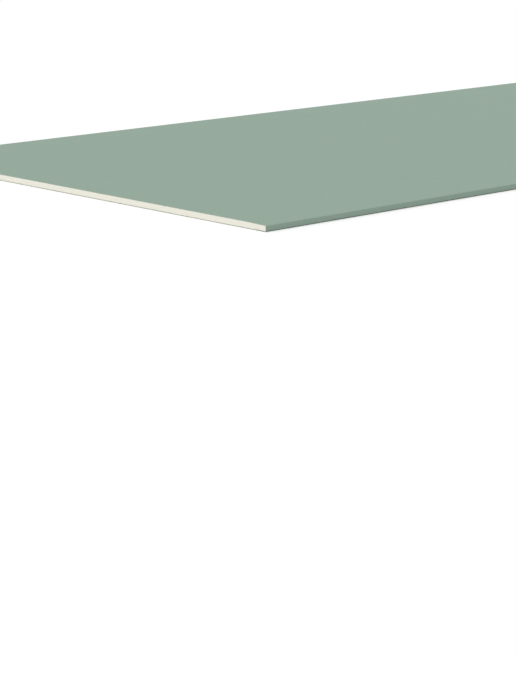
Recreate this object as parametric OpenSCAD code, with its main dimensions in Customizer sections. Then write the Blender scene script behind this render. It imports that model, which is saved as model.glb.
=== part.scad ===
// Moisture-resistant drywall sheet with tapered long edges, lying flat with its face up.
// A gypsum core is wrapped in a face paper, which turns round both long edges and folds under
// the back, and a back paper is glued over the two folds. The short ends are cut square, so the
// core shows there between the papers.
// X runs across the width, Y along the length and Z up. The origin is under the middle of the
// sheet, on the surface that it lies on.

/* [Sheet] */
// Width of the sheet, from long edge to long edge
sheet_w = 1200; // [400:10:1300]
// Length of the sheet, from cut end to cut end
sheet_l = 2500; // [600:10:3600]
// Thickness of the sheet in the middle, both papers included
sheet_t = 12.5; // [9:0.5:18]

/* [Tapered edges] */
// Width of the tapered strip along each long edge
taper_w = 50; // [30:1:80]
// Depth of the taper at the long edge
taper_d = 1.2; // [0.4:0.1:2]
// Width of the rounded shoulder where the taper leaves the flat face
shoulder_w = 15; // [5:1:25]
// Outer radius where the taper turns down into the long edge
face_arris_r = 1.5; // [0.8:0.1:2.5]
// Outer radius where the long edge turns under the back
back_arris_r = 1; // [0.7:0.1:2]

/* [Papers] */
// Thickness of the face paper
face_paper_t = 0.35; // [0.2:0.05:0.6]
// Thickness of the back paper
back_paper_t = 0.35; // [0.2:0.05:0.6]
// Width of the face paper that is folded under the back, along each long edge
fold_w = 28; // [16:1:45]
// Width of the fold left bare between each long edge and the back paper
bare_fold_w = 12; // [4:1:14]

/* [Hidden] */

// Straight steps that stand for the curve of a shoulder or an arris
shoulder_steps = 6;
arris_steps = 6;

// The taper falls as a parabola over the shoulder and then in a straight line to the edge
taper_slope = taper_d / (taper_w - shoulder_w / 2);
taper_angle = atan(taper_slope);
taper_start_x = sheet_w / 2 - taper_w;

// Height of the outer face of the folds, which the back paper lies under
fold_z = back_paper_t;

// Centre of the face arris, which touches both the taper's straight part and the long edge
face_arris_x = sheet_w / 2 - face_arris_r;
face_arris_z = sheet_t - taper_d - face_arris_r * (1 - sin(taper_angle)) / cos(taper_angle);

// Centre of the back arris, which touches both the long edge and the fold
back_arris_x = sheet_w / 2 - back_arris_r;
back_arris_z = fold_z + back_arris_r;

// One point of an arc in the sheet's section, at an angle from +X
function arc_point(x, z, r, angle) = [x + r * cos(angle), z + r * sin(angle)];

// One point of the shoulder, a given share of the way down it and set in from the outer face
function shoulder_point(share, inset) =
    let (slope = taper_slope * share,
         angle = atan(slope),
         drop = slope * share * shoulder_w / 2)
    [taper_start_x + share * shoulder_w - inset * sin(angle),
     sheet_t - drop - inset * cos(angle)];

// Right half of the wrapped section, from the flat face round the long edge to the fold's end.
// The inset is 0 on the outside of the face paper and the paper's thickness on its inside.
function right_wrap(inset) = concat(
    [for (i = [0 : shoulder_steps]) shoulder_point(i / shoulder_steps, inset)],
    [for (i = [0 : arris_steps])
        arc_point(face_arris_x, face_arris_z, face_arris_r - inset,
                  (90 - taper_angle) * (1 - i / arris_steps))],
    [for (i = [0 : arris_steps])
        arc_point(back_arris_x, back_arris_z, back_arris_r - inset, -90 * i / arris_steps)],
    [[sheet_w / 2 - fold_w, fold_z + inset]]);

function reversed(points) = [for (i = [len(points) - 1 : -1 : 0]) points[i]];
function mirrored(points) = [for (p = points) [-p[0], p[1]]];

// The whole wrapped section, from the left fold's end over the face to the right fold's end
function wrap(inset) = concat(mirrored(reversed(right_wrap(inset))), right_wrap(inset));

// A section drawn across the width, run along the whole length of the sheet
module along_length(section) {
    rotate([90, 0, 0])
        linear_extrude(height = sheet_l, center = true)
            polygon(section);
}

// Set gypsum: it fills the wrap, and comes down between the two folds to meet the back paper
module gypsum_core() {
    flat_x = sheet_w / 2 - fold_w;
    color([0.93, 0.92, 0.86])
        along_length(concat(wrap(face_paper_t), [[flat_x, fold_z], [-flat_x, fold_z]]));
}

// Green paper over the face, both long edges and the margins of the back
module face_paper() {
    color([0.59, 0.67, 0.62])
        along_length(concat(wrap(0), reversed(wrap(face_paper_t))));
}

// Duller paper over the back, glued to the core and over the inner part of both folds
module back_paper() {
    half_w = sheet_w / 2 - bare_fold_w;
    color([0.56, 0.60, 0.55])
        along_length([[-half_w, 0], [half_w, 0], [half_w, back_paper_t], [-half_w, back_paper_t]]);
}

gypsum_core();
face_paper();
back_paper();
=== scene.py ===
import math

import bmesh
import bpy
import numpy as np
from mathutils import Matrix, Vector, noise
from mathutils.geometry import delaunay_2d_cdt


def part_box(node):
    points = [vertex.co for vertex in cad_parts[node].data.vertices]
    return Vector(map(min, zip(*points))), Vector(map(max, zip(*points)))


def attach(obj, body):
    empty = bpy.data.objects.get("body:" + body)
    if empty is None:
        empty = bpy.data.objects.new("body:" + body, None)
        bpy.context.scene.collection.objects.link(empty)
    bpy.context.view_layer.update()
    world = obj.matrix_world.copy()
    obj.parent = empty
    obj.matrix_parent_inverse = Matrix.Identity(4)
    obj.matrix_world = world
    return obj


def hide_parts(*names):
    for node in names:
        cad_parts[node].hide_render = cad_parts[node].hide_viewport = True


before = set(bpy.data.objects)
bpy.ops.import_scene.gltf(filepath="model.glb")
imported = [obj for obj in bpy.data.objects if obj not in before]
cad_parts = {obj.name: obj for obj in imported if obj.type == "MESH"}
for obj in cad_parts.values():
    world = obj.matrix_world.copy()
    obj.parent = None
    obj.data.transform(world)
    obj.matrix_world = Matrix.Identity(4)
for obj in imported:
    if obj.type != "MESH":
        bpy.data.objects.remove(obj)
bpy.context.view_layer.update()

# Face paper
# A green, water-repellent liner of several plies, which the board line lays down first. Its sides
# are creased, turned up round the wet core and folded over the margins of the back. The saw that
# trims the board to length presses the paper's ends in a little and leaves them frayed.
mm = 0.001
wrap_low, wrap_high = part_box("face_paper")
half_w, half_l, sheet_t = wrap_high
face_paper_t = sheet_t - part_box("gypsum_core")[1].z
fold_z = wrap_low.z
taper_w = 50 * mm
taper_d = 1.2 * mm
shoulder_w = 15 * mm
face_arris_r = 1.5 * mm
back_arris_r = 1 * mm
fold_w = 28 * mm
green_ply_share = 0.35
slack = 1e-6

# Points of the mesh: on the rounds of the section, along it at the cut and on the flat further in,
# and along the sheet, close together in the zone that the saw has marked
shoulder_points = 9
arris_points = 11
fray_step = 1.2 * mm
flat_step = 24 * mm
cut_zone = np.array([0, 0.6, 2, 6]) * mm
middle_start = 20 * mm
paper_ring_count = 21

# The saw's press: its depth, how long its waves are, how far it reaches in from the cut, and the
# margin along each long edge that it leaves alone, with the width over which it comes in there
press_least = 0.04 * mm
press_more = 0.16 * mm
press_wave = 14 * mm
press_reach = 2 * mm
press_margin = 3 * mm
press_rise = 6 * mm

# The fraying: how far tufts and single fibres fall short of the cut, and how wide they are
tuft_d = 0.12 * mm
tuft_w = 5 * mm
fibre_d = 0.22 * mm
fibre_w = 1.6 * mm

# The two cut ends: the side that each is on, and its seed for what is random there
near_end = (-1, 1)
far_end = (1, 2)

# A paper's texture map, in shares of its size. The outside and then the inside lie side by side on
# it, with the sheet's length running up, and each cut end has a band of its own at the top.
outside_turn = 0.86
inside_turn = (0.88, 0.98)
length_band = 0.94
rim_bands = ((0.955, 0.972), (0.98, 0.997))


def right_half_of_wrap():
    """Corners of the wrap's outer line, from the flat face to the right fold's end: x, z and lean.

    The lean is the angle of the outward normal from straight up. It grows from nothing on the face
    to a quarter turn on the long edge and a half turn under the fold.
    """
    slope = taper_d / (taper_w - shoulder_w / 2)
    taper_lean = math.atan(slope)
    arris_drop = face_arris_r * (1 - math.sin(taper_lean)) / math.cos(taper_lean)
    face_arris_x = half_w - face_arris_r
    face_arris_z = sheet_t - taper_d - arris_drop
    back_arris_x = half_w - back_arris_r
    back_arris_z = fold_z + back_arris_r

    share = np.linspace(0, 1, shoulder_points)
    down = np.linspace(taper_lean, math.pi / 2, arris_points)
    under = np.linspace(math.pi / 2, math.pi, arris_points)
    x = [
        half_w - taper_w + share * shoulder_w,
        face_arris_x + face_arris_r * np.sin(down),
        back_arris_x + back_arris_r * np.sin(under),
        [half_w - fold_w],
    ]
    z = [
        sheet_t - slope * share**2 * shoulder_w / 2,
        face_arris_z + face_arris_r * np.cos(down),
        back_arris_z + back_arris_r * np.cos(under),
        [fold_z],
    ]
    lean = [np.arctan(slope * share), down, under, [math.pi]]
    return np.stack([np.concatenate(part) for part in (x, z, lean)], axis=1)


def fill_in(line, step):
    """The line with points added, so that no two neighbours are further apart than the step"""
    filled = [line[:1]]
    for start, end in zip(line[:-1], line[1:]):
        count = math.ceil(math.dist(start[:2], end[:2]) / step)
        shares = np.arange(1, count + 1)[:, None] / count
        filled.append(start + (end - start) * shares)
    return np.concatenate(filled)


def set_in(line, depth):
    """Section points (x, z) of a line set in from the outside by a depth, or a depth for each point"""
    x = line[:, 0] - depth * np.sin(line[:, 2])
    z = line[:, 1] - depth * np.cos(line[:, 2])
    return np.stack([x, z], axis=1)


def stand(section, y):
    """Section points (x, z) as places in space, at y along the sheet or at a y for each point"""
    return np.stack([section[:, 0], np.broadcast_to(y, len(section)), section[:, 1]], axis=1)


def ripple(size, seed, x, z=0):
    """Smooth random values from 0 to 1 that change over about the given size.

    The noise is nothing at whole numbers, so a seed's layer lies halfway between two of them.
    """
    spread = 0.7
    spots = np.broadcast(np.divide(x, size), np.divide(z, size))
    values = [noise.noise(Vector((across, up, seed + 0.5))) for across, up in spots]
    return np.clip(0.5 + spread * np.array(values), 0, 1)


def saw_press(x, seed):
    """How far the saw has pressed the face in at the cut, which fades out towards the long edges"""
    inside = np.clip((half_w - press_margin - np.abs(x)) / press_rise, 0, 1)
    return inside * (press_least + press_more * ripple(press_wave, seed, x))


def fray(along, seed):
    """How far the torn paper at a cut end falls short of the end"""
    return tuft_d * ripple(tuft_w, seed, along) + fibre_d * ripple(fibre_w, seed + 3, along)


def runs(first, count, stops):
    """The vertices of a closed ring from each stop to the next, all the way round"""
    around = [*range(first, first + count), first]
    ends = [*stops[1:], count]
    return [around[start:end + 1] for start, end in zip(stops, ends)]


def sleeve(rings, kept, around):
    """Faces round a row of rings, their corners' places on a map, and the turn where each starts.

    A ring near an end has every point of the section and a ring further in only the kept ones, so
    a face between the two kinds takes in all the points from one kept point to the next. A turn is
    a share of the way round the section. It runs across the map, and the sheet's length up it.
    """
    faces = []
    first = 0
    for ring, following in zip(rings[:-1], rings[1:]):
        fewest = min(len(ring), len(following))
        stops = range(fewest) if len(ring) == fewest else kept
        next_stops = range(fewest) if len(following) == fewest else kept
        next_first = first + len(ring)
        pairs = zip(runs(first, len(ring), stops), runs(next_first, len(following), next_stops))
        faces += [run + next_run[::-1] for run, next_run in pairs]
        first = next_first

    turns = np.concatenate([around[kept] if len(ring) == len(kept) else around for ring in rings])
    start_turns = turns[[face[0] for face in faces]]
    corners = np.concatenate(faces)
    across = turns[corners]
    # A ring's last face ends at the ring's first point, which is a whole turn on from there
    across[across < np.repeat(start_turns, [len(face) for face in faces])] = 1
    up = 0.5 + 0.5 * np.concatenate(rings)[corners, 1] / half_l
    return faces, np.stack([across, up], axis=1), start_turns


def strip(line, next_line):
    """Faces between two lines of vertices, from point to point"""
    sides = zip(line[:-1], line[1:], next_line[1:], next_line[:-1])
    return [list(corners) for corners in sides]


def strip_map(turns, low, high):
    """Places on the map for the corners of a strip of faces, between two heights"""
    across = np.stack([turns[:-1], turns[1:], turns[1:], turns[:-1]], axis=1)
    up = np.broadcast_to([low, low, high, high], across.shape)
    return np.stack([across, up], axis=2).reshape(-1, 2)


def make_piece(name, places, faces, flat_places, materials, face_materials):
    """A closed mesh with smooth rounded arrises and sharp cut edges, which rides on the sheet's body.

    The flat places are where the corners of its faces lie on its texture map.
    """
    sharp_angle = math.radians(32)
    mesh = bpy.data.meshes.new(name)
    mesh.from_pydata(np.asarray(places).tolist(), [], faces)
    texture_map = mesh.uv_layers.new(name="OFBake")
    texture_map.uv.foreach_set("vector", np.ravel(flat_places))
    for material in materials:
        mesh.materials.append(material)
    mesh.polygons.foreach_set("material_index", face_materials)
    shaped = bmesh.new()
    shaped.from_mesh(mesh)
    bmesh.ops.recalc_face_normals(shaped, faces=shaped.faces)
    shaped.to_mesh(mesh)
    shaped.free()
    mesh.polygons.foreach_set("use_smooth", [True] * len(mesh.polygons))
    mesh.set_sharp_from_angle(angle=sharp_angle)
    piece = bpy.data.objects.new(name, mesh)
    bpy.context.scene.collection.objects.link(piece)
    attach(piece, "root")
    return piece


def add_node(tree, kind, inputs, **settings):
    """A shader node whose inputs are set to values, or linked where the value is a socket"""
    node = tree.nodes.new(kind)
    for name, value in settings.items():
        setattr(node, name, value)
    for key, value in inputs.items():
        if isinstance(value, bpy.types.NodeSocket):
            tree.links.new(value, node.inputs[key])
        else:
            node.inputs[key].default_value = value
    return node


def math_node(tree, operation, a, b):
    """One step of arithmetic"""
    return add_node(tree, "ShaderNodeMath", {0: a, 1: b}, operation=operation).outputs[0]


def weighted(tree, *parts):
    """The sum of several values, each times its own weight"""
    total = 0.0
    for value, weight in parts:
        terms = {0: value, 1: weight, 2: total}
        total = add_node(tree, "ShaderNodeMath", terms, operation="MULTIPLY_ADD").outputs[0]
    return total


def stretched(tree, value, low=0.3, high=0.7):
    """A value spread out so that low becomes 0 and high becomes 1.

    Cloudy noise lies mostly between the two that are used where none are given.
    """
    limits = {"From Min": low, "From Max": high}
    return add_node(tree, "ShaderNodeMapRange", {"Value": value, **limits}).outputs["Result"]


def between(tree, share, low, high):
    """A value between low and high, at a share from 0 to 1 of the way"""
    limits = {"To Min": low, "To Max": high}
    return add_node(tree, "ShaderNodeMapRange", {"Value": share, **limits}).outputs["Result"]


def mixed(tree, share, first, second):
    """A colour between two others, each a socket or its red, green and blue.

    The mix node's inputs 6 and 7 are its two colours, and its output 2 is the mixed one.
    """
    ends = [end if isinstance(end, bpy.types.NodeSocket) else (*end, 1) for end in (first, second)]
    inputs = {0: share, 6: ends[0], 7: ends[1]}
    return add_node(tree, "ShaderNodeMix", inputs, data_type="RGBA").outputs[2]


def sized(tree, place, x, y, z):
    """The place measured in a pattern's own sizes along each axis"""
    sizes = add_node(tree, "ShaderNodeCombineXYZ", {"X": x, "Y": y, "Z": z}).outputs[0]
    return add_node(tree, "ShaderNodeVectorMath", {0: place, 1: sizes}, operation="DIVIDE").outputs[0]


def fractal(tree, place, detail, roughness, distortion=0.0):
    """Cloudy noise over a place that is measured in the pattern's own sizes"""
    settings = {"Scale": 1.0, "Detail": detail, "Roughness": roughness, "Distortion": distortion}
    return add_node(tree, "ShaderNodeTexNoise", {"Vector": place, **settings}).outputs[0]


def cells(tree, place):
    """Strewn cells: the distance from a cell's middle, and a random value from 0 to 1 for each cell"""
    pattern = add_node(tree, "ShaderNodeTexVoronoi", {"Vector": place, "Scale": 1.0}).outputs
    chance = add_node(tree, "ShaderNodeSeparateColor", {0: pattern["Color"]}).outputs[0]
    return pattern["Distance"], chance


def start_material(name):
    """A new material, its nodes, and the place on the sheet in metres"""
    material = bpy.data.materials.new(name)
    material.use_nodes = True
    tree = material.node_tree
    return material, tree, tree.nodes.new("ShaderNodeTexCoord").outputs["Object"]


def finish_matt(tree, colour, dullness, height, bump_strength, relief):
    """Gives a matt surface its colour, its roughness and a fine relief"""
    matt_specular = 0.1
    shader = tree.nodes["Principled BSDF"]
    bump_inputs = {"Height": height, "Strength": bump_strength, "Distance": relief}
    bump = add_node(tree, "ShaderNodeBump", bump_inputs)
    tree.links.new(colour, shader.inputs["Base Color"])
    tree.links.new(dullness, shader.inputs["Roughness"])
    tree.links.new(bump.outputs[0], shader.inputs["Normal"])
    shader.inputs["Specular IOR Level"].default_value = matt_specular


def make_paper_grain():
    """What shows in liner paper: cloudy flocs, fibres that lie mostly along the web, flecks, streaks"""
    floc_stretch = 1.7
    fibre_gap = 6.0
    fleck_gap = 6.0
    fleck_gap_along = 20.0
    fleck_reach = (0.14, 0.06)
    strand_reach = 0.05
    fibre_layers = ((-47, 0.8), (-9, 1.0), (31, 0.9))
    streak_w = 16 * mm
    streak_l = 1.4

    group = bpy.data.node_groups.new("paper grain", "ShaderNodeTree")
    group.interface.new_socket("Place", in_out="INPUT", socket_type="NodeSocketVector")
    for name in ("Floc Size", "Fibre Width", "Fibre Length", "Fleck Width", "Fleck Share"):
        group.interface.new_socket(name, in_out="INPUT", socket_type="NodeSocketFloat")
    for name in ("Cloud", "Fibre", "Fleck", "Streak", "Height"):
        group.interface.new_socket(name, in_out="OUTPUT", socket_type="NodeSocketFloat")
    entry = group.nodes.new("NodeGroupInput").outputs
    place = entry["Place"]

    floc_w = entry["Floc Size"]
    floc_l = math_node(group, "MULTIPLY", floc_w, floc_stretch)
    flocs = fractal(group, sized(group, place, floc_w, floc_l, floc_w), detail=4.0, roughness=0.55)
    cloud = stretched(group, flocs)

    fibre_pitch = math_node(group, "MULTIPLY", entry["Fibre Width"], fibre_gap)
    cell_w = math_node(group, "MULTIPLY", entry["Fleck Width"], fleck_gap)
    cell_l = math_node(group, "MULTIPLY", entry["Fleck Width"], fleck_gap_along)
    fibre = 0.0
    fleck = 0.0
    for degrees, strength in fibre_layers:
        turn_inputs = {"Vector": place, "Angle": math.radians(degrees)}
        turned = add_node(group, "ShaderNodeVectorRotate", turn_inputs).outputs[0]
        fibre_place = sized(group, turned, fibre_pitch, entry["Fibre Length"], fibre_pitch)
        level = fractal(group, fibre_place, detail=2.0, roughness=0.55, distortion=0.4)
        off_line = math_node(group, "ABSOLUTE", math_node(group, "SUBTRACT", level, 0.5), 0.0)
        strand = math_node(group, "MULTIPLY", stretched(group, off_line, strand_reach, 0.0), strength)
        fibre = math_node(group, "MAXIMUM", fibre, strand)
        distance, chance = cells(group, sized(group, turned, cell_w, cell_l, cell_w))
        chosen = math_node(group, "LESS_THAN", chance, entry["Fleck Share"])
        speck = math_node(group, "MULTIPLY", chosen, stretched(group, distance, *fleck_reach))
        fleck = math_node(group, "MAXIMUM", fleck, speck)

    streak_place = sized(group, place, streak_w, streak_l, streak_w)
    streak = stretched(group, fractal(group, streak_place, detail=3.0, roughness=0.6))
    height = weighted(group, (cloud, 0.35), (fibre, 0.65))
    results = {"Cloud": cloud, "Fibre": fibre, "Fleck": fleck, "Streak": streak, "Height": height}
    add_node(group, "NodeGroupOutput", results)
    return group


paper_grain = make_paper_grain()


def make_paper(name, colour, fleck_colour, contrast, fleck_strength, roughness, grain_sizes):
    """Matt liner paper whose colour, roughness and surface follow the paper grain"""
    roughness_spread = 0.05
    material, tree, place = start_material(name)
    grain_inputs = {"Place": place, **grain_sizes}
    grain = add_node(tree, "ShaderNodeGroup", grain_inputs, node_tree=paper_grain).outputs
    tone = weighted(tree, (grain["Cloud"], 0.4), (grain["Fibre"], 0.4), (grain["Streak"], 0.2))
    dark = [channel * (1 - contrast) for channel in colour]
    light = [channel * (1 + contrast) for channel in colour]
    fleck = math_node(tree, "MULTIPLY", grain["Fleck"], fleck_strength)
    flecked = mixed(tree, fleck, mixed(tree, tone, dark, light), fleck_colour)
    dullness = between(tree, grain["Cloud"], roughness - roughness_spread, roughness + roughness_spread)
    finish_matt(tree, flecked, dullness, grain["Height"], bump_strength=0.4, relief=0.04 * mm)
    return material


green_paper = make_paper(
    "green face paper",
    colour=(0.300, 0.401, 0.332),
    fleck_colour=(0.20, 0.27, 0.22),
    contrast=0.06,
    fleck_strength=0.35,
    roughness=0.82,
    grain_sizes={
        "Floc Size": 7 * mm,
        "Fibre Width": 0.09 * mm,
        "Fibre Length": 3 * mm,
        "Fleck Width": 0.2 * mm,
        "Fleck Share": 0.12,
    },
)
grey_ply = make_paper(
    "grey inner plies",
    colour=(0.36, 0.37, 0.31),
    fleck_colour=(0.20, 0.21, 0.18),
    contrast=0.12,
    fleck_strength=0.5,
    roughness=0.9,
    grain_sizes={
        "Floc Size": 2 * mm,
        "Fibre Width": 0.08 * mm,
        "Fibre Length": 1.5 * mm,
        "Fleck Width": 0.2 * mm,
        "Fleck Share": 0.3,
    },
)

corners = right_half_of_wrap()
wrap = fill_in(np.concatenate([corners[::-1] * (-1, 1, -1), corners]), fray_step)
wrap_count = len(wrap)
along_wrap = np.concatenate([[0], np.cumsum(np.linalg.norm(np.diff(wrap[:, :2], axis=0), axis=1))])


def wrap_ring(press):
    """Section points round the paper: outside, right rim, inside on the way back, left rim"""
    outside = set_in(wrap, press)
    ply = set_in(wrap, press + green_ply_share * face_paper_t)
    inside = set_in(wrap, press + face_paper_t)
    return np.concatenate([outside, ply[-1:], inside[::-1], ply[:1]])


def wrap_end(side, seed):
    """Rings of the paper's cut zone at one end, from the cut inwards, and the ply line in its rim"""
    press = saw_press(wrap[:, 0], seed)
    rings = []
    for depth in cut_zone:
        fade = max(0, 1 - depth / press_reach) ** 2
        rings.append(stand(wrap_ring(press * fade), side * (half_l - depth)))
    cut = rings[0]
    outside = slice(0, wrap_count)
    inside = slice(wrap_count + 1, 2 * wrap_count + 1)
    cut[outside, 1] -= side * fray(along_wrap, seed + 10)
    cut[inside, 1] -= side * fray(along_wrap[::-1], seed + 20)
    ply_section = set_in(wrap[1:-1], press[1:-1] + green_ply_share * face_paper_t)
    ply_line = stand(ply_section, side * (half_l - fray(along_wrap[1:-1], seed + 30)))
    return rings, ply_line


near_rings, near_ply = wrap_end(*near_end)
far_rings, far_ply = wrap_end(*far_end)
on_flat = np.abs(wrap[:, 0]) < half_w - taper_w - slack
flat_skip = round(flat_step / fray_step)
kept_outside = [i for i in range(wrap_count) if not on_flat[i] or i % flat_skip == 0]
kept_inside = [2 * wrap_count - i for i in reversed(kept_outside)]
wrap_kept = [*kept_outside, wrap_count, *kept_inside, 2 * wrap_count + 1]
plain_ring = wrap_ring(0)[wrap_kept]
paper_y = np.linspace(middle_start - half_l, half_l - middle_start, paper_ring_count)
wrap_rings = near_rings + [stand(plain_ring, y) for y in paper_y] + far_rings[::-1]

outside_turns = outside_turn * along_wrap / along_wrap[-1]
inside_turns = np.interp(outside_turns, (0, outside_turn), inside_turn)
right_rim_turn = np.mean((outside_turn, inside_turn[0]))
left_rim_turn = np.mean((inside_turn[1], 1))
wrap_turns = np.concatenate([outside_turns, [right_rim_turn], inside_turns, [left_rim_turn]])
wrap_faces, sleeve_map, start_turns = sleeve(wrap_rings, wrap_kept, wrap_turns)
wrap_maps = [sleeve_map * (1, length_band)]
wrap_materials = [0 if turn <= outside_turn else 1 for turn in start_turns]

ring_total = sum(len(ring) for ring in wrap_rings)
near_rim = (0, ring_total, rim_bands[0])
far_rim = (ring_total - len(wrap_rings[-1]), ring_total + len(near_ply), rim_bands[1])
for ring_start, ply_start, (low, high) in (near_rim, far_rim):
    right_rim = ring_start + wrap_count
    left_rim = ring_start + 2 * wrap_count + 1
    outside = range(ring_start, right_rim)
    ply = [left_rim, *range(ply_start, ply_start + wrap_count - 2), right_rim]
    inside = range(left_rim - 1, right_rim, -1)
    green_faces = strip(outside, ply)
    grey_faces = strip(ply, inside)
    wrap_faces += green_faces + grey_faces
    wrap_materials += [0] * len(green_faces) + [1] * len(grey_faces)
    ply_height = low + green_ply_share * (high - low)
    wrap_maps.append(strip_map(outside_turns, low, ply_height))
    wrap_maps.append(strip_map(outside_turns, ply_height, high))
face_paper = make_piece(
    "green_face_paper",
    np.concatenate([*wrap_rings, near_ply, far_ply]),
    wrap_faces,
    np.concatenate(wrap_maps),
    [green_paper, grey_ply],
    wrap_materials,
)
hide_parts("face_paper")

# Gypsum core
# Foamed gypsum plaster, poured wet on the face paper and set between the two papers. It shows only
# at the cut ends, as a cream face with opened air pockets, faint saw marks and crumbled spots.
back_paper_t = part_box("back_paper")[1].z
core_half_w = half_w - face_paper_t
core_back_half_w = half_w - fold_w
core_ring_count = 11

# The cut face's points, strewn about a grid and clear of the papers
crumb_step = 1.3 * mm
crumb_stray = 0.38
crumb_room = 0.6 * mm

# Air pockets: small ones are many and large ones few. The plaster along the long edges is mixed
# denser, so that the pockets hardly grow there.
pocket_tries = 1600
pocket_least_r = 0.2 * mm
pocket_more_r = 0.7 * mm
pocket_rarity = 4
pocket_room = 0.8 * mm
pocket_clearance = 0.25 * mm
hard_edge_w = 35 * mm
hard_edge_growth = 0.2

# A pocket's rings, as shares of its radius across and down, and how deep its bottom is
pocket_sides = 8
pocket_rings = ((1, 0), (0.8, 0.6))
pocket_bottom = 0.95

# Relief of the sawn face: depths and widths of its waves and its grain, the marks that the saw
# leaves, and the crumbling along the papers, in a few spots
cut_least_d = 0.08 * mm
wave_d = 0.1 * mm
wave_w = 30 * mm
grain_d = 0.14 * mm
grain_w = 2.2 * mm
saw_d = 0.06 * mm
saw_pitch = 6 * mm
saw_lean = 0.22
saw_stray = 0.8
saw_stray_w = 40 * mm
crumble_d = 2.4 * mm
crumble_w = 7 * mm
crumble_rarity = 0.72
crumble_reach = 0.9 * mm

# The core's texture map, in shares of its size: the sides at the bottom, and above them the cut
# ends, each cut into rows that lie one above the other, with a little to spare at a row's ends
sleeve_band = 0.1
cut_bands = ((0.11, 0.55), (0.56, 1))
map_rows = 8
row_margin = 0.02

long_edge_start = int(np.argmax(corners[:, 2] > math.pi / 2 - slack))
core_top_line = set_in(corners, face_paper_t)[:long_edge_start + 1]
core_back_ends = np.array([(core_back_half_w, back_paper_t), (-core_back_half_w, back_paper_t)])
core_back_line = fill_in(core_back_ends, fray_step)


def core_outline(press):
    """Section points round the core: over the wrap's inside from left to right, then back under it"""
    return np.concatenate([set_in(wrap, face_paper_t + press), core_back_line])


def room_in_core(x, z):
    """How far a section point lies from the nearest paper, less than nothing outside the core"""
    top = np.interp(np.abs(x), *core_top_line.T)
    bottom = np.where(np.abs(x) < core_back_half_w, back_paper_t, fold_z + face_paper_t)
    side = core_half_w - np.abs(x)
    return np.minimum(np.minimum(top - z, z - bottom), side)


def scatter(draw):
    """Section points strewn evenly over the cut face, clear of its outline"""
    columns = np.arange(-core_half_w, core_half_w, crumb_step)
    rows = np.arange(0, sheet_t, crumb_step)
    grid = np.stack(np.meshgrid(columns, rows, indexing="ij"), axis=2).reshape(-1, 2)
    strewn = grid + draw.uniform(-crumb_stray, crumb_stray, grid.shape) * crumb_step
    return strewn[room_in_core(*strewn.T) > crumb_room]


def air_pockets(draw):
    """Centres and radii of the round air pockets that the cut has opened, none touching another"""
    pockets = np.zeros((0, 3))
    lowest = (-core_half_w, 0, 0)
    highest = (core_half_w, sheet_t, 1)
    for x, z, share in draw.uniform(lowest, highest, (pocket_tries, 3)):
        growth = np.interp(core_half_w - abs(x), (0, hard_edge_w), (hard_edge_growth, 1))
        r = pocket_least_r + pocket_more_r * growth * share**pocket_rarity
        gaps = np.hypot(pockets[:, 0] - x, pockets[:, 1] - z) - pockets[:, 2] - r
        if room_in_core(x, z) > r + pocket_room and np.all(gaps > pocket_clearance):
            pockets = np.concatenate([pockets, [(x, z, r)]])
    return pockets


def pocket_points(pockets):
    """Section points and depths of the pockets: the bottoms, then the rims and rings down the walls"""
    turns = np.linspace(0, 2 * math.pi, pocket_sides, endpoint=False)
    circle = np.stack([np.cos(turns), np.sin(turns)], axis=1)
    r = pockets[:, 2]
    sections = [pockets[:, :2]]
    depths = [pocket_bottom * r]
    for width, depth in pocket_rings:
        sections.append((pockets[:, None, :2] + width * r[:, None, None] * circle).reshape(-1, 2))
        depths.append(np.repeat(depth * r, pocket_sides))
    return np.concatenate(sections), np.concatenate(depths)


def cut_relief(section, seed):
    """Depth of the sawn plaster below the end of the sheet"""
    x, z = section.T
    waves = wave_d * ripple(wave_w, seed, x, z)
    grain = grain_d * ripple(grain_w, seed + 1, x, z)
    teeth = (x + saw_lean * z) / saw_pitch + saw_stray * ripple(saw_stray_w, seed + 2, x, z)
    saw_marks = saw_d * (0.5 + 0.5 * np.sin(2 * math.pi * teeth))
    weak = np.clip(ripple(crumble_w, seed + 4, x, z) - crumble_rarity, 0, 1)
    near_paper = np.exp(-np.clip(room_in_core(x, z), 0, None) / crumble_reach)
    return cut_least_d + waves + grain + saw_marks + crumble_d * weak * near_paper


def cut_face_map(triangles, band):
    """Places on the map for the corners of a cut end's triangles, which are given as section points"""
    across = map_rows * (0.5 + 0.5 * triangles[:, :, 0] / core_half_w)
    row_number = np.floor(across.mean(axis=1, keepdims=True))
    along = np.interp(across - row_number, (-row_margin, 1 + row_margin), (0, 1))
    low, high = band
    up = low + (high - low) * (row_number + triangles[:, :, 1] / sheet_t) / map_rows
    return np.stack([along, up], axis=2).reshape(-1, 2)


def cut_face(side, seed, band):
    """A cut end of the core: places round its border, places inside it, its faces and their map"""
    triangles_inside = 1
    draw = np.random.RandomState(seed)
    outline = core_outline(saw_press(wrap[:, 0], seed))
    pockets = air_pockets(draw)
    hollow, hollow_depths = pocket_points(pockets)
    strewn = scatter(draw)
    gaps = [np.min(np.hypot(*(pockets[:, :2] - point).T) - pockets[:, 2]) for point in strewn]
    strewn = strewn[np.array(gaps) > pocket_clearance]
    section = np.concatenate([outline, hollow, strewn])
    depths = cut_relief(section, seed + 40)
    border_count = len(outline)
    depths[border_count:border_count + len(hollow)] += hollow_depths
    places = stand(section, side * (half_l - depths))
    border = [(i, (i + 1) % border_count) for i in range(border_count)]
    flat = [Vector(point) for point in section / mm]
    faces = delaunay_2d_cdt(flat, border, [], triangles_inside, slack)[2]
    face_map = cut_face_map(section[np.array(faces)], band)
    return places[:border_count], places[border_count:], faces, face_map


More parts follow.
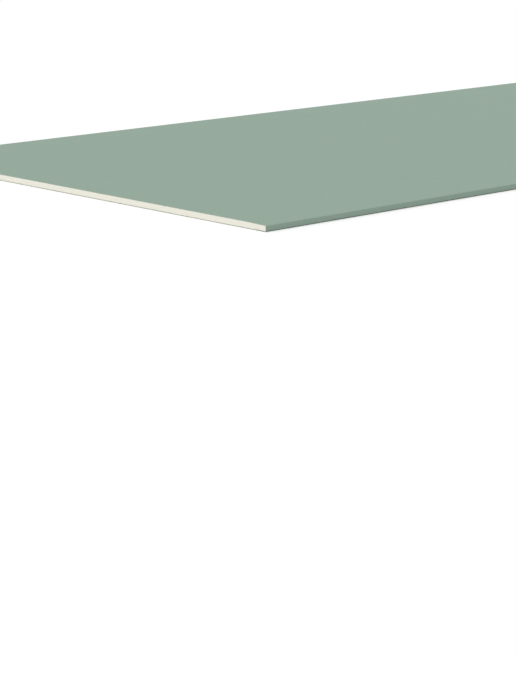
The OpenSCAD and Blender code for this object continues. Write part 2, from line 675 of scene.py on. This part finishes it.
def make_gypsum():
    """Set plaster: cream, matt and finely porous, with painted shade darkening its fine pores"""
    dark_cream = (0.825, 0.81, 0.71)
    light_cream = (0.885, 0.87, 0.78)
    # Painted shade: the colour that darkens the fine pores, standing in for the shade in their hollows
    painted_pore_shade = (0.58, 0.55, 0.44)
    painted_pore_shade_strength = 0.25
    pore_cell = 0.7 * mm
    pore_most_r = 0.3
    pore_slope = 0.12
    blotch_w = 9 * mm
    blotch_h = 6 * mm
    crumb_w = 0.5 * mm
    roughness = (0.86, 0.98)

    material, tree, place = start_material("cut gypsum")
    blotch_place = sized(tree, place, blotch_w, blotch_w, blotch_h)
    blotch = fractal(tree, blotch_place, detail=4.0, roughness=0.6)
    crumb = fractal(tree, sized(tree, place, crumb_w, crumb_w, crumb_w), detail=3.0, roughness=0.65)
    tone = stretched(tree, weighted(tree, (blotch, 0.5), (crumb, 0.5)))
    ground = mixed(tree, tone, dark_cream, light_cream)
    distance, chance = cells(tree, sized(tree, place, pore_cell, pore_cell, pore_cell))
    pore_r = math_node(tree, "MULTIPLY", chance, pore_most_r)
    pore = stretched(tree, math_node(tree, "SUBTRACT", pore_r, distance), 0.0, pore_slope)
    # The fine pores are painted darker. This is painted shade in their hollows, on top of the bump that
    # sinks them.
    pitted_with_painted_shade = mixed(tree, math_node(tree, "MULTIPLY", pore, painted_pore_shade_strength), ground, painted_pore_shade)
    dullness = between(tree, crumb, *roughness)
    height = math_node(tree, "SUBTRACT", math_node(tree, "MULTIPLY", crumb, 0.6), pore)
    finish_matt(tree, pitted_with_painted_shade, dullness, height, bump_strength=0.6, relief=0.1 * mm)
    return material


gypsum = make_gypsum()
near_border, near_inside, near_faces, near_map = cut_face(*near_end, cut_bands[0])
far_border, far_inside, far_faces, far_map = cut_face(*far_end, cut_bands[1])
outline = core_outline(0)
outline_count = len(outline)
on_flat = np.abs(outline[:, 0]) <= half_w - taper_w
core_kept = [i for i in range(outline_count) if not on_flat[i] or i % flat_skip == 0]
core_y = np.linspace(middle_start - half_l, half_l - middle_start, core_ring_count)
inset_y = half_l - cut_zone[-1]
core_rings = [
    near_border,
    stand(outline, -inset_y),
    *[stand(outline[core_kept], y) for y in core_y],
    stand(outline, inset_y),
    far_border,
]
core_faces, sleeve_map, _ = sleeve(core_rings, core_kept, np.arange(outline_count) / outline_count)
ring_total = sum(len(ring) for ring in core_rings)
near_cut = (0, ring_total, len(near_inside), near_faces)
far_cut = (ring_total - outline_count, ring_total + len(near_inside), len(far_inside), far_faces)
for border_start, inside_start, inside_count, end_faces in (near_cut, far_cut):
    border = range(border_start, border_start + outline_count)
    inside = range(inside_start, inside_start + inside_count)
    numbers = [*border, *inside]
    core_faces += [[numbers[i] for i in face] for face in end_faces]
core = make_piece(
    "gypsum_plaster_core",
    np.concatenate([*core_rings, near_inside, far_inside]),
    core_faces,
    np.concatenate([sleeve_map * (1, sleeve_band), near_map, far_map]),
    [gypsum],
    [0] * len(core_faces),
)
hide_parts("gypsum_core")

# Back paper
# A plainer recycled liner, dull grey-green, which is laid over the wet core last and glued down
# over the two folds of the face paper, so that its long edges show as a lap along the back.
back_half_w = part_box("back_paper")[1].x
back_paper_material = make_paper(
    "grey-green back paper",
    colour=(0.29, 0.335, 0.28),
    fleck_colour=(0.13, 0.15, 0.12),
    contrast=0.09,
    fleck_strength=0.55,
    roughness=0.88,
    grain_sizes={
        "Floc Size": 9 * mm,
        "Fibre Width": 0.11 * mm,
        "Fibre Length": 3.5 * mm,
        "Fleck Width": 0.28 * mm,
        "Fleck Share": 0.2,
    },
)
back_line = fill_in(np.array([(-back_half_w, 0, math.pi), (back_half_w, 0, math.pi)]), fray_step)
back_count = len(back_line)
back_section = np.concatenate([set_in(back_line, 0), set_in(back_line, back_paper_t)[::-1]])


def back_end(side, seed):
    """Rings of the back paper's cut zone at one end, from the cut inwards.

    The slip puts the fraying of the paper's two faces a little out of step.
    """
    slip = 2
    rings = [stand(back_section, side * (half_l - depth)) for depth in cut_zone]
    along = back_section[:, 0] + slip * back_section[:, 1]
    rings[0][:, 1] -= side * fray(along, seed + 60)
    return rings


kept_under = [i for i in range(back_count) if i % flat_skip == 0 or i == back_count - 1]
back_kept = kept_under + [2 * back_count - 1 - i for i in reversed(kept_under)]
back_middle_rings = [stand(back_section[back_kept], y) for y in paper_y]
back_rings = back_end(*near_end) + back_middle_rings + back_end(*far_end)[::-1]
under_turns = np.linspace(0, outside_turn, back_count)
back_turns = np.concatenate([under_turns, np.linspace(*inside_turn, back_count)])
back_faces, sleeve_map, _ = sleeve(back_rings, back_kept, back_turns)
back_maps = [sleeve_map * (1, length_band)]
back_materials = [0] * len(back_faces)
far_start = sum(len(ring) for ring in back_rings[:-1])
for ring_start, (low, high) in zip((0, far_start), rim_bands):
    under = range(ring_start, ring_start + back_count)
    over = range(ring_start + 2 * back_count - 1, ring_start + back_count - 1, -1)
    rim_faces = strip(under, over)
    back_faces += rim_faces
    back_materials += [1] * len(rim_faces)
    back_maps.append(strip_map(under_turns, low, high))
back_paper = make_piece(
    "back_liner_paper",
    np.concatenate(back_rings),
    back_faces,
    np.concatenate(back_maps),
    [back_paper_material, grey_ply],
    back_materials,
)
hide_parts("back_paper")

# Floor
# A plain white studio floor. The camera sees it as white, and it keeps the sheet's shadow. A board
# touches a real floor only in spots, so this floor lies a little lower and leaves a line of shade.
floor_reach = 30
floor_drop = 0.8 * mm
lit_grey = (0.8, 0.8, 0.8)
seen_white = (1.06, 1.06, 1.06)
floor_mesh = bpy.data.meshes.new("studio floor")
floor_corners = [
    (-floor_reach, -floor_reach, -floor_drop),
    (floor_reach, -floor_reach, -floor_drop),
    (floor_reach, floor_reach, -floor_drop),
    (-floor_reach, floor_reach, -floor_drop),
]
floor_mesh.from_pydata(floor_corners, [], [(0, 1, 2, 3)])
floor = bpy.data.objects.new("studio_floor", floor_mesh)
bpy.context.scene.collection.objects.link(floor)
floor_paint = bpy.data.materials.new("white floor paint")
floor_paint.use_nodes = True
floor_tree = floor_paint.node_tree
floor_tree.nodes.clear()


def seen_directly(tree):
    """1 for what the camera sees, straight, in a reflection or through glass, and 0 for other light"""
    paths = tree.nodes.new("ShaderNodeLightPath").outputs
    reflected = math_node(tree, "MAXIMUM", paths["Is Camera Ray"], paths["Is Glossy Ray"])
    return math_node(tree, "MAXIMUM", reflected, paths["Is Transmission Ray"])


floor_colour = mixed(floor_tree, seen_directly(floor_tree), lit_grey, seen_white)
floor_shader = add_node(floor_tree, "ShaderNodeBsdfDiffuse", {"Color": floor_colour})
add_node(floor_tree, "ShaderNodeOutputMaterial", {"Surface": floor_shader.outputs[0]})
floor_mesh.materials.append(floor_paint)

# Light
# A white tent of even light, and a soft lamp high in front, on the cut end's side.
tent_level = 0.72
lamp_level = 1.05
lamp_spread = math.radians(50)
lamp_direction = Vector((-0.04, -0.75, 0.75))
world = bpy.data.worlds.new("white tent")
world.use_nodes = True
tent_tree = world.node_tree
tent = tent_tree.nodes["Background"]
tent.inputs["Color"].default_value = (1, 1, 1, 1)
tent_strength = between(tent_tree, seen_directly(tent_tree), tent_level, 1.0)
tent_tree.links.new(tent_strength, tent.inputs["Strength"])
bpy.context.scene.world = world
lamp_data = bpy.data.lights.new("soft lamp", "SUN")
lamp_data.energy = lamp_level
lamp_data.angle = lamp_spread
lamp = bpy.data.objects.new("soft lamp", lamp_data)
lamp.rotation_mode = "QUATERNION"
lamp.rotation_quaternion = lamp_direction.to_track_quat("Z", "Y")
bpy.context.scene.collection.objects.link(lamp)

# Camera
# It looks across the near corner, where a cut end and a long edge meet, from a little above.
camera_place = (3.451, -3.931, 0.725)
camera_azimuth = math.radians(46.97)
camera_elevation = math.radians(13.51)
camera_data = bpy.data.cameras.new("camera")
camera_data.lens = 111.5
camera_data.sensor_width = 36
camera = bpy.data.objects.new("camera", camera_data)
camera.location = camera_place
camera.rotation_euler = (math.pi / 2 - camera_elevation, 0, camera_azimuth)
bpy.context.scene.collection.objects.link(camera)
bpy.context.scene.camera = camera
bpy.context.scene.view_settings.view_transform = "Standard"
